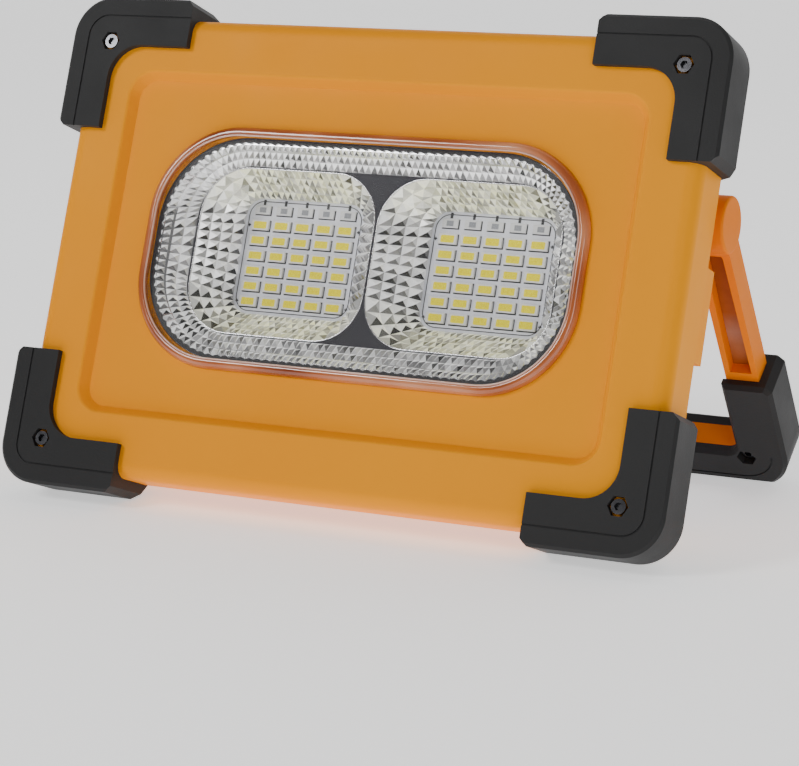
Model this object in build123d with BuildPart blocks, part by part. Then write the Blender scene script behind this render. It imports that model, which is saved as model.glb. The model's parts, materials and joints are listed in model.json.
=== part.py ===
"""Rechargeable solar flood light: an orange slab with black corner guards, a twin-cup LED reflector
behind a clear lens, a wedge-shaped rear housing that carries a solar panel, and a U-shaped stand.

Everything in front of the stand is drawn on planes parallel to the slab's front rim. There x runs to
the right, y runs up the slab, and "depth" is the distance behind the rim. The stand is drawn on its
own plane through the hinge axis, where y runs up the arm. The row frame has +Z up, X to the right
and its origin on the ground under the middle of the lamp.
"""

from build123d import *
import os
from math import atan2, cos, degrees, hypot, radians, sin, tan

os.makedirs("parts", exist_ok=True)

# ---------------------------------------------------------------- driving dimensions (mm)
SLAB_HALF = (100.0, 69.4)  # half width and half height of the orange slab
SLAB_DEPTH = 17.0
SLAB_ROUND = 7.0  # corner radius seen from the front
FRONT_ROUND = 4.5  # radius of the slab's front edge
WALL = 2.5
RIM_THICK = 5.5  # thickness of the raised rim
RECESS_HALF = (83.1, 51.8)
RECESS_CENTRE = (0.0, 0.8)
RECESS_DEPTH = 3.0
RECESS_ROUND = 8.0
RECESS_SLOPE = 36.0

GUARD_PROUD = 5.0  # how far the guards stand out past the slab's sides
GUARD_FRONT = -2.2
GUARD_BACK = 19.5
GUARD_ROUND = 12.0
GUARD_LEG = 40.2  # leg length, measured from the outer corner
GUARD_WIDTH = 14.6
GUARD_INNER_ROUND = 10.0
GUARD_BEVEL = 6.0  # rear bevel
CREASE_INSET = 5.5
CREASE_SIZE = 0.5
SCREW_INSET = 13.6  # guard screws, measured from the guard's outer faces

LENS_CENTRE = (0.0, 1.4)
LENS_HALF = (70.2, 36.1)
LENS_ROUND = 27.5
LENS_FRONT = 0.8
SEAL_HALF = (67.0, 32.9)
SEAL_WIDTH = 1.5
REFLECTOR_TOP = 3.9  # depth of the reflector's front lip
SHELF_DEPTH = 11.6  # depth of the shelf between the border and the cups
SHELF_CENTRE = (0.0, 2.5)
SHELF_HALF = (59.2, 25.7)
SHELF_ROUND = 16.5
CUP_HALF = (28.9, 25.0)
CUP_X = 29.35
CUP_ROUND = 14.5
CUP_FLOOR = 26.0
CUP_FLOOR_HALF = (19.9, 17.8)
CUP_FLOOR_ROUND = 5.3
SHELL = 1.6  # reflector wall
BOARD_X = 31.1
BOARD_Y = 3.9
BOARD_HALF = (20.6, 18.5)
BOARD_THICK = 1.6
LED_PITCH = (7.17, 4.68)
LED_COLUMNS = 5
LED_ROWS = 6
LED_SIZE = (5.7, 3.0, 0.9)
LED_Y = 1.59

BOX_HALF = 86.6  # half width of the rear housing
BOX_TOP_FRONT = (14.5, 54.0)  # (depth, height) of the rear housing's outline
BOX_TOP_BACK = (51.8, 41.0)
BOX_BOTTOM_BACK = (38.3, -63.9)
BOX_BOTTOM_FRONT = (14.5, -63.9)
BOX_WALL = 2.2
FLANGE_FRONT = 12.5
PANEL_RIM = 2.6
PANEL_POCKET = 2.3

PIVOT = (27.6, 23.6)  # (depth, height) of the stand's hinge axis
STAND_OPEN = 55.8  # degrees the stand is swung back from folded
ARM_INNER = 90.3
ARM_OUTER = 100.4
ARM_HALF_THICK = 4.0
ARM_LENGTH = 99.5
BAR_WIDTH = 11.5
BOSS_RADIUS = 8.2
BOSS_END = 101.4
FOOT_LENGTH = 103.0  # hinge axis to the bottom of the stand guards
FOOT_START = 58.6
FOOT_FRONT = 7.2  # guard surface in front of and behind the arm's mid-plane
FOOT_BACK = 9.5
FOOT_OUTER = 104.7
FOOT_INNER = 89.3
FOOT_LEG = 15.0
FOOT_BEVEL = 4.0

# ---------------------------------------------------------------- how the lamp leans on its stand
OPEN = radians(STAND_OPEN)
HEEL = (GUARD_BACK - GUARD_BEVEL, -SLAB_HALF[1] - GUARD_PROUD)
TOE_S, TOE_T = FOOT_LENGTH, FOOT_BEVEL - FOOT_FRONT
TOE = (
    PIVOT[0] + TOE_S * sin(OPEN) + TOE_T * cos(OPEN),
    PIVOT[1] - TOE_S * cos(OPEN) + TOE_T * sin(OPEN),
)
LEAN = atan2(TOE[1] - HEEL[1], TOE[0] - HEEL[0])


def row_yz(depth_mm, height_mm):
    """Row-frame Y and Z of a point of the slab frame, measured from the slab's centre."""
    y = height_mm * sin(LEAN) + depth_mm * cos(LEAN)
    z = height_mm * cos(LEAN) - depth_mm * sin(LEAN)
    return y, z


HEEL_Z = row_yz(*HEEL)[1]
FRONT_Y = row_yz(GUARD_FRONT, -SLAB_HALF[1] - GUARD_PROUD + 0.9)[0]
HEEL_BACK_S = FOOT_LENGTH - 2.5
BACK_POINT = (
    PIVOT[0] + HEEL_BACK_S * sin(OPEN) + FOOT_BACK * cos(OPEN),
    PIVOT[1] - HEEL_BACK_S * cos(OPEN) + FOOT_BACK * sin(OPEN),
)
BACK_Y = row_yz(*BACK_POINT)[0]
CENTRE = Vector(0, -(FRONT_Y + BACK_Y) / 2, -HEEL_Z)

FACE = Plane(origin=CENTRE, x_dir=(1, 0, 0), z_dir=(0, -cos(LEAN), sin(LEAN)))
OUTWARD = Axis(FACE.origin, FACE.z_dir)
SIDE = Plane(origin=CENTRE, x_dir=-FACE.z_dir, z_dir=(1, 0, 0))  # x is depth, y is height
PIVOT_POINT = SIDE.from_local_coords(Vector(PIVOT[0], PIVOT[1], 0))
STAND = Plane(
    origin=PIVOT_POINT,
    x_dir=(1, 0, 0),
    z_dir=(0, -cos(OPEN - LEAN), -sin(OPEN - LEAN)),
)
PANEL_SLOPE = atan2(BOX_TOP_BACK[0] - BOX_BOTTOM_BACK[0], BOX_TOP_BACK[1] - BOX_BOTTOM_BACK[1])
PANEL_LENGTH = hypot(BOX_TOP_BACK[0] - BOX_BOTTOM_BACK[0], BOX_TOP_BACK[1] - BOX_BOTTOM_BACK[1])
PANEL_MID = (
    (BOX_TOP_BACK[0] + BOX_BOTTOM_BACK[0]) / 2,
    (BOX_TOP_BACK[1] + BOX_BOTTOM_BACK[1]) / 2,
)
PANEL_NORMAL = -FACE.z_dir * cos(PANEL_SLOPE) - FACE.y_dir * sin(PANEL_SLOPE)
PANEL = Plane(
    origin=SIDE.from_local_coords(Vector(PANEL_MID[0], PANEL_MID[1], 0)),
    x_dir=(-1, 0, 0),
    z_dir=PANEL_NORMAL,
)


def at(depth_mm):
    """The plane parallel to the front rim at a depth behind it."""
    return FACE.offset(-depth_mm)


def pad(centre, half, radius, front, back, mode=Mode.ADD):
    """A rounded rectangular plate between two depths, in the part being built."""
    with BuildSketch(at(front)) as outline:
        with Locations(centre):
            RectangleRounded(2 * half[0], 2 * half[1], radius)
    extrude(outline.sketch, amount=front - back, mode=mode)


def pegs(points, radius, front, back, mode=Mode.ADD):
    """Round pegs or holes between two depths."""
    with BuildSketch(at(front)) as circles:
        with Locations(*points):
            Circle(radius)
    extrude(circles.sketch, amount=front - back, mode=mode)


def funnel(top, bottom, mode):
    """A tapering space between two rounded rectangles given as (depth, centre, half size, radius)."""
    sections = []
    for depth_mm, centre, half, radius in (top, bottom):
        with BuildSketch(at(depth_mm)) as section:
            with Locations(centre):
                RectangleRounded(2 * half[0], 2 * half[1], radius)
        sections.append(section.sketch)
    loft(sections, mode=mode)


def grown(half, amount):
    return half[0] + amount, half[1] + amount


def keep(piece, name):
    """Labels a finished sub-part and writes it."""
    piece.part.label = name
    export_step(piece.part, f"parts/{name}.step")


# ---------------------------------------------------------------- slab blank, shared by housing and guards
with BuildPart() as slab_blank:
    pad((0, 0), SLAB_HALF, SLAB_ROUND, 0, SLAB_DEPTH)
    fillet(slab_blank.faces().sort_by(OUTWARD)[-1].edges(), FRONT_ROUND)

SCREW_XY = (SLAB_HALF[0] + GUARD_PROUD - SCREW_INSET, SLAB_HALF[1] + GUARD_PROUD - SCREW_INSET)
SCREW_POINTS = [(sx * SCREW_XY[0], sy * SCREW_XY[1]) for sx in (-1, 1) for sy in (-1, 1)]
SCREW_RADIUS = 1.5
SCREW_CLEARANCE = 1.6

REFLECTOR_SCREWS = [(x, LENS_CENTRE[1] + sy * 36.9) for x in (-34, 0, 34) for sy in (-1, 1)]

# ---------------------------------------------------------------- front housing
with BuildPart() as front_housing:
    add(slab_blank.part)
    cavity = grown(SLAB_HALF, -WALL)
    pad((0, 0), cavity, SLAB_ROUND - WALL, RIM_THICK, SLAB_DEPTH, Mode.SUBTRACT)
    with BuildSketch(at(0)):
        with Locations(RECESS_CENTRE):
            RectangleRounded(2 * RECESS_HALF[0], 2 * RECESS_HALF[1], RECESS_ROUND)
    extrude(amount=-RECESS_DEPTH, taper=RECESS_SLOPE, mode=Mode.SUBTRACT)
    recess_rim = (
        front_housing.faces().filter_by(FACE).sort_by(OUTWARD)[-1].inner_wires()[0].edges()
    )
    fillet(recess_rim, 1.2)
    pad(LENS_CENTRE, grown(SEAL_HALF, 0.3), LENS_ROUND - 1, 0, RIM_THICK, Mode.SUBTRACT)
    pegs(SCREW_POINTS, 4.0, RIM_THICK, FLANGE_FRONT)
    pegs(SCREW_POINTS, SCREW_CLEARANCE, 0, FLANGE_FRONT, Mode.SUBTRACT)
    pegs(REFLECTOR_SCREWS, 0.9, RIM_THICK - 1.8, RIM_THICK, Mode.SUBTRACT)
keep(front_housing, "front_housing")

# ---------------------------------------------------------------- rear housing
BOARD_FRONT = 31.5  # control board
CONTROL_THICK = 1.6
CONTROL_BACK = BOARD_FRONT + CONTROL_THICK
CONTROL_Y = (-19.0, 36.0)
CONTROL_HALF = 78.0
POST_POINTS = [(sx * 66.0, y) for sx in (-1, 1) for y in (-13.0, 31.0)]
POST_RADIUS = 3.0
WALL_INSET = PANEL_POCKET + 2.0
HINGE_FACE = 89.9
HINGE_ROUND = 10.0
PIN_RADIUS = 2.5
PIN_HOLE = 2.55
STEP_HALF = 99.8  # side steps behind the slab, just ahead of the folded arms
STEP_BACK = 23.1
STEP_Y = (-17.5, 9.0)
BUTTON_DEPTH = 37.0
BUTTON_Y = 1.0
BUTTON_SIZE = (6.0, 16.0)  # across and along the side wall
PORT_Y = -8.0
PORT_DEPTH = 37.6
PORT_POCKET = (9.6, 25.0)
POCKET_SINK = 1.2
USB_Y = -13.0
USB_SIZE = (5.6, 13.1, 14.0)
USB_DEPTH = CONTROL_BACK + 0.1 + USB_SIZE[0] / 2
CHARGE_Y = 0.2
CHARGE_SIZE = (2.6, 7.6, 5.6)
CHARGE_DEPTH = CONTROL_BACK + 0.1 + CHARGE_SIZE[0] / 2
LIGHT_POINTS = [(38.6, BUTTON_Y + 11.5 + 3.0 * i) for i in range(4)]
RIB_X = (-50.0, 0.0, 50.0)
SOLAR_WIRE_POINTS = [(28.0, 24.0), (33.0, 24.0)]


def back_depth(height_mm, inset=0.0):
    """Depth of the sloping back wall at a height, moved inward by an inset."""
    return BOX_TOP_BACK[0] - (BOX_TOP_BACK[1] - height_mm) * tan(PANEL_SLOPE) - inset / cos(PANEL_SLOPE)


with BuildPart() as rear_housing:
    pad((0, 0), grown(SLAB_HALF, -WALL - 0.3), 4.2, FLANGE_FRONT, BOX_TOP_FRONT[0])
    with BuildSketch(SIDE.offset(-BOX_HALF)):
        Polygon(
            BOX_TOP_FRONT,
            BOX_TOP_BACK,
            BOX_BOTTOM_BACK,
            BOX_BOTTOM_FRONT,
            align=None,
        )
    extrude(amount=2 * BOX_HALF)
    back_edges = rear_housing.faces().sort_by(OUTWARD)[0].edges()
    fillet(back_edges, 1.2)
    with BuildSketch(SIDE.offset(-BOX_HALF + BOX_WALL)):
        Polygon(
            (FLANGE_FRONT, BOX_TOP_FRONT[1] - BOX_WALL),
            (BOX_TOP_FRONT[0], BOX_TOP_FRONT[1] - BOX_WALL),
            (back_depth(BOX_TOP_BACK[1], WALL_INSET), BOX_TOP_BACK[1] - 1.0),
            (back_depth(BOX_BOTTOM_BACK[1], WALL_INSET), BOX_BOTTOM_BACK[1] + BOX_WALL),
            (FLANGE_FRONT, BOX_BOTTOM_FRONT[1] + BOX_WALL),
            align=None,
        )
    extrude(amount=2 * (BOX_HALF - BOX_WALL), mode=Mode.SUBTRACT)
    with BuildSketch(PANEL):
        RectangleRounded(2 * (BOX_HALF - PANEL_RIM), PANEL_LENGTH - 2 * PANEL_RIM, 1.0)
    extrude(amount=-PANEL_POCKET, mode=Mode.SUBTRACT)
    for x in RIB_X:
        with BuildSketch(at(SLAB_DEPTH)):
            with Locations((x, (BOX_TOP_FRONT[1] + SLAB_HALF[1] - WALL - 0.3) / 2)):
                Rectangle(1.4, SLAB_HALF[1] - WALL - 0.3 - BOX_TOP_FRONT[1])
        extrude(amount=SLAB_DEPTH - BOX_TOP_FRONT[0] + 0.5)
    for side in (-1, 1):
        step_mid = (STEP_Y[0] + STEP_Y[1]) / 2
        step_height = STEP_Y[1] - STEP_Y[0]
        with BuildSketch(at(BOX_TOP_FRONT[0] - 0.5)):
            with Locations((side * (BOX_HALF + SLAB_HALF[0] - WALL - 0.6) / 2, step_mid)):
                Rectangle(SLAB_HALF[0] - WALL - BOX_HALF, step_height)
        extrude(amount=-(SLAB_DEPTH + 0.2 - BOX_TOP_FRONT[0] + 0.5))
        with BuildSketch(at(SLAB_DEPTH + 0.1)):
            with Locations((side * (BOX_HALF + STEP_HALF - 0.6) / 2, step_mid)):
                Rectangle(STEP_HALF - BOX_HALF + 0.6, step_height)
        extrude(amount=SLAB_DEPTH + 0.1 - STEP_BACK)
        with BuildSketch(SIDE.offset(side * (BOX_HALF - 0.5))):
            with Locations(PIVOT):
                Circle(HINGE_ROUND)
        extrude(amount=side * (HINGE_FACE - BOX_HALF + 0.5))
        with BuildSketch(SIDE.offset(side * (BOX_HALF - BOX_WALL - 1))):
            with Locations(PIVOT):
                Circle(PIN_HOLE)
        extrude(amount=side * (HINGE_FACE - BOX_HALF + BOX_WALL + 2), mode=Mode.SUBTRACT)
    for x, y in POST_POINTS:
        with BuildSketch(at(CONTROL_BACK)):
            with Locations((x, y)):
                Circle(POST_RADIUS)
        extrude(amount=CONTROL_BACK - back_depth(y, WALL_INSET - 1.0))
    pegs(POST_POINTS, 1.0, CONTROL_BACK, CONTROL_BACK + 5, Mode.SUBTRACT)
    # power button opening and indicator holes in the right side wall
    with BuildSketch(SIDE.offset(BOX_HALF + 0.1)):
        with Locations((BUTTON_DEPTH, BUTTON_Y)):
            RectangleRounded(BUTTON_SIZE[0] + 0.6, BUTTON_SIZE[1] + 0.6, 3.2)
        with Locations(*LIGHT_POINTS):
            Circle(0.9)
    extrude(amount=-BOX_WALL - 0.3, mode=Mode.SUBTRACT)
    # shallow pocket for the port cover, with the two socket openings in its floor
    with BuildSketch(SIDE.offset(-BOX_HALF - 0.1)):
        with Locations((PORT_DEPTH, PORT_Y)):
            RectangleRounded(PORT_POCKET[0], PORT_POCKET[1], 1.0)
    extrude(amount=POCKET_SINK + 0.1, mode=Mode.SUBTRACT)
    with BuildSketch(SIDE.offset(-BOX_HALF)):
        with Locations((USB_DEPTH, USB_Y)):
            Rectangle(USB_SIZE[0] + 0.4, USB_SIZE[1] + 0.4)
        with Locations((CHARGE_DEPTH, CHARGE_Y)):
            RectangleRounded(CHARGE_SIZE[0] + 0.4, CHARGE_SIZE[1] + 0.4, 1.0)
    extrude(amount=BOX_WALL + 0.2, mode=Mode.SUBTRACT)
    pegs(SOLAR_WIRE_POINTS, 1.2, CONTROL_BACK + 5, back_depth(24.0), Mode.SUBTRACT)
    pegs(SCREW_POINTS, SCREW_CLEARANCE, FLANGE_FRONT, BOX_TOP_FRONT[0], Mode.SUBTRACT)
keep(rear_housing, "rear_housing")

# ---------------------------------------------------------------- lens and its seal
with BuildPart() as lens:
    pad(LENS_CENTRE, LENS_HALF, LENS_ROUND, LENS_FRONT, RECESS_DEPTH)
    fillet(lens.faces().sort_by(OUTWARD)[-1].edges(), 1.6)
keep(lens, "lens")

with BuildPart() as lens_seal:
    pad(LENS_CENTRE, SEAL_HALF, LENS_ROUND - 1.2, RECESS_DEPTH, REFLECTOR_TOP)
    inner = grown(SEAL_HALF, -SEAL_WIDTH)
    pad(LENS_CENTRE, inner, LENS_ROUND - 1.2 - SEAL_WIDTH, RECESS_DEPTH, REFLECTOR_TOP, Mode.SUBTRACT)
keep(lens_seal, "lens_seal")

# ---------------------------------------------------------------- reflector: border, shelf and two cups
FLANGE_DEPTH = (6.2, 7.8)
FLANGE_HALF = (74.0, 39.4)
LIP_HALF = grown(SEAL_HALF, -SEAL_WIDTH)
SPREADER_SCREWS = [(0.0, 19.0), (0.0, -11.0), (-58.6, BOARD_Y), (58.6, BOARD_Y)]

with BuildPart() as reflector:
    pad(LENS_CENTRE, SEAL_HALF, LENS_ROUND - 1.2, REFLECTOR_TOP, FLANGE_DEPTH[1])
    pad(LENS_CENTRE, FLANGE_HALF, 30.0, *FLANGE_DEPTH)
    funnel(
        (FLANGE_DEPTH[0], LENS_CENTRE, grown(LIP_HALF, SHELL - 0.2), LENS_ROUND - 1.4),
        (SHELF_DEPTH + SHELL, SHELF_CENTRE, grown(SHELF_HALF, SHELL), SHELF_ROUND + SHELL),
        Mode.ADD,
    )
    for side in (-1, 1):
        funnel(
            (SHELF_DEPTH, (side * CUP_X, SHELF_CENTRE[1]), grown(CUP_HALF, SHELL), CUP_ROUND + SHELL),
            (
                CUP_FLOOR,
                (side * BOARD_X, BOARD_Y),
                grown(CUP_FLOOR_HALF, SHELL),
                CUP_FLOOR_ROUND + SHELL,
            ),
            Mode.ADD,
        )
    pegs(SPREADER_SCREWS, 2.6, SHELF_DEPTH + 0.6, CUP_FLOOR + BOARD_THICK)
    funnel(
        (REFLECTOR_TOP, LENS_CENTRE, LIP_HALF, LENS_ROUND - 1.2 - SEAL_WIDTH),
        (SHELF_DEPTH, SHELF_CENTRE, SHELF_HALF, SHELF_ROUND),
        Mode.SUBTRACT,
    )
    for side in (-1, 1):
        funnel(
            (SHELF_DEPTH, (side * CUP_X, SHELF_CENTRE[1]), CUP_HALF, CUP_ROUND),
            (CUP_FLOOR, (side * BOARD_X, BOARD_Y), CUP_FLOOR_HALF, CUP_FLOOR_ROUND),
            Mode.SUBTRACT,
        )
    pegs(SPREADER_SCREWS, 0.9, CUP_FLOOR - 6, CUP_FLOOR + BOARD_THICK, Mode.SUBTRACT)
    pegs(REFLECTOR_SCREWS, 1.1, *FLANGE_DEPTH, Mode.SUBTRACT)
keep(reflector, "reflector")

with BuildPart() as reflector_gasket:
    pad(LENS_CENTRE, FLANGE_HALF, 30.0, RIM_THICK, FLANGE_DEPTH[0])
    pad(LENS_CENTRE, grown(SEAL_HALF, 0.4), LENS_ROUND - 0.8, RIM_THICK, FLANGE_DEPTH[0], Mode.SUBTRACT)
    pegs(REFLECTOR_SCREWS, 1.1, RIM_THICK, FLANGE_DEPTH[0], Mode.SUBTRACT)
keep(reflector_gasket, "reflector_gasket")

with BuildPart() as reflector_screws:
    pegs(REFLECTOR_SCREWS, 0.88, RIM_THICK - 1.7, FLANGE_DEPTH[1])
    pegs(REFLECTOR_SCREWS, 1.9, FLANGE_DEPTH[1], FLANGE_DEPTH[1] + 1.2)
keep(reflector_screws, "reflector_screws")

# ---------------------------------------------------------------- LED boards
LED_X = [(i - (LED_COLUMNS - 1) / 2) * LED_PITCH[0] for i in range(LED_COLUMNS)]
LED_ROW_Y = [LED_Y + (j - (LED_ROWS - 1) / 2) * LED_PITCH[1] for j in range(LED_ROWS)]
RESISTOR_Y = LED_ROW_Y[-1] + LED_PITCH[1]
PHOSPHOR_SIZE = (4.3, 2.2, 0.25)
SPREADER_THICK = 2.0
SPREADER_FRONT = CUP_FLOOR + BOARD_THICK
SPREADER_BACK = SPREADER_FRONT + SPREADER_THICK

for name, side in (("left", -1), ("right", 1)):
    led_points = [(side * BOARD_X + x, y) for x in LED_X for y in LED_ROW_Y]
    resistor_points = [(side * BOARD_X + x, RESISTOR_Y) for x in LED_X]

    with BuildPart() as led_board:
        pad((side * BOARD_X, BOARD_Y), BOARD_HALF, 6.0, CUP_FLOOR, CUP_FLOOR + BOARD_THICK)
    keep(led_board, f"led_board_{name}")

    with BuildPart() as led_packages:
        with BuildSketch(at(CUP_FLOOR)):
            with Locations(*led_points):
                Rectangle(LED_SIZE[0], LED_SIZE[1])
        extrude(amount=LED_SIZE[2])
        with BuildSketch(at(CUP_FLOOR - LED_SIZE[2])):
            with Locations(*led_points):
                RectangleRounded(PHOSPHOR_SIZE[0], PHOSPHOR_SIZE[1], 0.4)
        extrude(amount=-PHOSPHOR_SIZE[2], mode=Mode.SUBTRACT)
    keep(led_packages, f"led_packages_{name}")

    with BuildPart() as led_phosphor:
        with BuildSketch(at(CUP_FLOOR - LED_SIZE[2] + PHOSPHOR_SIZE[2])):
            with Locations(*led_points):
                RectangleRounded(PHOSPHOR_SIZE[0], PHOSPHOR_SIZE[1], 0.4)
        extrude(amount=PHOSPHOR_SIZE[2])
    keep(led_phosphor, f"led_phosphor_{name}")

    with BuildPart() as resistors:
        with BuildSketch(at(CUP_FLOOR)):
            with Locations(*resistor_points):
                Rectangle(5.0, 2.6)
        extrude(amount=0.6)
    keep(resistors, f"resistors_{name}")

with BuildPart() as heat_spreader:
    pad((0, BOARD_Y), (63.0, 20.0), 5.0, SPREADER_FRONT, SPREADER_BACK)
    pegs(SPREADER_SCREWS, 1.2, SPREADER_FRONT, SPREADER_BACK, Mode.SUBTRACT)
    for side in (-1, 1):
        with BuildSketch(at(SPREADER_FRONT)):
            with Locations((side * BOARD_X, -8.1)):
                SlotOverall(13.0, 4.0)
        extrude(amount=-SPREADER_THICK, mode=Mode.SUBTRACT)
keep(heat_spreader, "heat_spreader")

with BuildPart() as spreader_screws:
    pegs(SPREADER_SCREWS, 0.88, CUP_FLOOR - 5, SPREADER_BACK)
    pegs(SPREADER_SCREWS, 2.2, SPREADER_BACK, SPREADER_BACK + 1.4)
keep(spreader_screws, "spreader_screws")

HEADER_POINTS = [
    (side * BOARD_X + dx, -8.1) for side in (-1, 1) for dx in (-3.8, 3.8)
]
with BuildPart() as led_header_pins:
    pegs(HEADER_POINTS, 0.5, SPREADER_FRONT, BOARD_FRONT)
keep(led_header_pins, "led_header_pins")

# ---------------------------------------------------------------- control board and what stands on it
with BuildPart() as control_board:
    pad((0, sum(CONTROL_Y) / 2), (CONTROL_HALF, (CONTROL_Y[1] - CONTROL_Y[0]) / 2), 2.0,
        BOARD_FRONT, CONTROL_BACK)
    pegs(POST_POINTS, 1.1, BOARD_FRONT, CONTROL_BACK, Mode.SUBTRACT)
keep(control_board, "control_board")

with BuildPart() as board_screws:
    pegs(POST_POINTS, 0.98, BOARD_FRONT, CONTROL_BACK + 4)
    pegs(POST_POINTS, 2.0, BOARD_FRONT - 1.3, BOARD_FRONT)
keep(board_screws, "board_screws")

with BuildPart() as board_components:
    with BuildSketch(at(CONTROL_BACK)):
        with Locations((-40, 10)):
            RectangleRounded(10, 10, 2)
        with Locations((-22, 12), (12, 14)):
            Circle(3.2)
        with Locations((0, -4), (50, 8)):
            Rectangle(7, 5)
        with Locations((-52, -8), (-46, -8), (-40, -8), (20, -6), (26, -6), (32, -6), (38, -6)):
            Rectangle(2.0, 3.2)
    extrude(amount=-4.0)
keep(board_components, "board_components")

USB_MOUTH = -(BOX_HALF - POCKET_SINK) + 0.1


def socket_shell(depth_mm, height_mm, size, skin, round_mm, tongue):
    """An open-ended socket lying along X with its mouth towards the left side wall."""
    deep, tall, long = size
    with BuildSketch(SIDE.offset(USB_MOUTH)) as outside:
        with Locations((depth_mm, height_mm)):
            RectangleRounded(deep, tall, round_mm)
    extrude(outside.sketch, amount=long)
    with BuildSketch(SIDE.offset(USB_MOUTH)) as inside:
        with Locations((depth_mm, height_mm)):
            Rectangle(deep - 2 * skin, tall - 2 * skin)
    extrude(inside.sketch, amount=long - 1.5, mode=Mode.SUBTRACT)
    with BuildSketch(SIDE.offset(USB_MOUTH + 1.0)) as blade:
        with Locations((depth_mm + tongue[2], height_mm)):
            Rectangle(tongue[0], tongue[1])
    extrude(blade.sketch, amount=long - 2.0)


with BuildPart() as usb_a_socket:
    socket_shell(USB_DEPTH, USB_Y, USB_SIZE, 0.4, 0.5, (1.8, 11.0, 1.3))
keep(usb_a_socket, "usb_a_socket")

with BuildPart() as charge_socket:
    socket_shell(CHARGE_DEPTH, CHARGE_Y, CHARGE_SIZE, 0.3, 1.0, (0.6, 5.0, 0.0))
keep(charge_socket, "charge_socket")

SWITCH_FACE = CONTROL_HALF + 1.6
with BuildPart() as tact_switch:
    with BuildSketch(SIDE.offset(CONTROL_HALF - 4.0)):
        with Locations((CONTROL_BACK + 0.1 + 3.0, BUTTON_Y)):
            Rectangle(6.0, 6.0)
    extrude(amount=4.0)
    with BuildSketch(SIDE.offset(CONTROL_HALF)):
        with Locations((BUTTON_DEPTH, BUTTON_Y)):
            Circle(1.6)
    extrude(amount=SWITCH_FACE - CONTROL_HALF - 1.2)
keep(tact_switch, "tact_switch")

with BuildPart() as indicator_lights:
    with BuildSketch(SIDE.offset(CONTROL_HALF + 1.0)):
        with Locations(*LIGHT_POINTS):
            Circle(0.8)
    extrude(amount=BOX_HALF - CONTROL_HALF - 1.0 + 0.2)
    with BuildSketch(SIDE.offset(CONTROL_HALF + 1.0)):
        with Locations((CONTROL_BACK + 3.4, (LIGHT_POINTS[0][1] + LIGHT_POINTS[-1][1]) / 2)):
            Rectangle(6.6, 12.0)
    extrude(amount=1.4)
keep(indicator_lights, "indicator_lights")

# ---------------------------------------------------------------- power button (presses inward along -X)
BUTTON_PROUD = 1.2
with BuildPart() as power_button:
    with BuildSketch(SIDE.offset(BOX_HALF - BOX_WALL)):
        with Locations((BUTTON_DEPTH, BUTTON_Y)):
            RectangleRounded(BUTTON_SIZE[0], BUTTON_SIZE[1], 2.9)
    extrude(amount=BOX_WALL + BUTTON_PROUD)
    fillet(power_button.faces().sort_by(Axis.X)[-1].edges(), 0.5)
    with BuildSketch(SIDE.offset(BOX_HALF - BOX_WALL - 1.1)):
        with Locations((BUTTON_DEPTH, BUTTON_Y)):
            RectangleRounded(BUTTON_SIZE[0] + 2.4, BUTTON_SIZE[1] + 2.4, 3.5)
    extrude(amount=0.9)
    with BuildSketch(SIDE.offset(SWITCH_FACE)):
        with Locations((BUTTON_DEPTH, BUTTON_Y)):
            Circle(1.4)
    extrude(amount=BOX_HALF - BOX_WALL - SWITCH_FACE)
    with BuildSketch(SIDE.offset(BOX_HALF - BOX_WALL - 0.6)):
        with Locations((BUTTON_DEPTH, BUTTON_Y)):
            RectangleRounded(BUTTON_SIZE[0], BUTTON_SIZE[1], 2.9)
    extrude(amount=0.8)
keep(power_button, "power_button")

# ---------------------------------------------------------------- port cover with its hinge pin
COVER_THICK = 1.6
HINGE_X = -(BOX_HALF + 1.5)
COVER_HINGE_Y = PORT_Y - PORT_POCKET[1] / 2 - 1.9
KNUCKLE_RADIUS = 1.3
COVER_PIN_RADIUS = 0.6

FLAP_BOTTOM = COVER_HINGE_Y + 1.7
FLAP_TOP = PORT_Y + PORT_POCKET[1] / 2 + 0.8
with BuildPart() as port_cover:
    with BuildSketch(SIDE.offset(-(BOX_HALF - POCKET_SINK + 0.3))):
        with Locations((PORT_DEPTH, PORT_Y + 0.4)):
            RectangleRounded(PORT_POCKET[0] - 0.8, PORT_POCKET[1] - 2.4, 0.8)
    extrude(amount=-(POCKET_SINK + 0.2))
    with BuildSketch(SIDE.offset(-(BOX_HALF + 0.3))):
        with Locations((PORT_DEPTH, (FLAP_BOTTOM + FLAP_TOP) / 2)):
            RectangleRounded(PORT_POCKET[0] + 1.2, FLAP_TOP - FLAP_BOTTOM, 1.0)
        with Locations((PORT_DEPTH, COVER_HINGE_Y + 1.2)):
            Rectangle(6.0, 2.4)
    extrude(amount=-COVER_THICK)
    pegs([(HINGE_X, COVER_HINGE_Y)], KNUCKLE_RADIUS, PORT_DEPTH - 3.0, PORT_DEPTH + 3.0)
    pegs([(HINGE_X, COVER_HINGE_Y)], COVER_PIN_RADIUS + 0.05, PORT_DEPTH - 6, PORT_DEPTH + 6, Mode.SUBTRACT)
keep(port_cover, "port_cover")

with BuildPart() as port_cover_pin:
    pegs([(HINGE_X, COVER_HINGE_Y)], COVER_PIN_RADIUS, PORT_DEPTH - 5.0, PORT_DEPTH + 5.0)
keep(port_cover_pin, "port_cover_pin")

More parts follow.
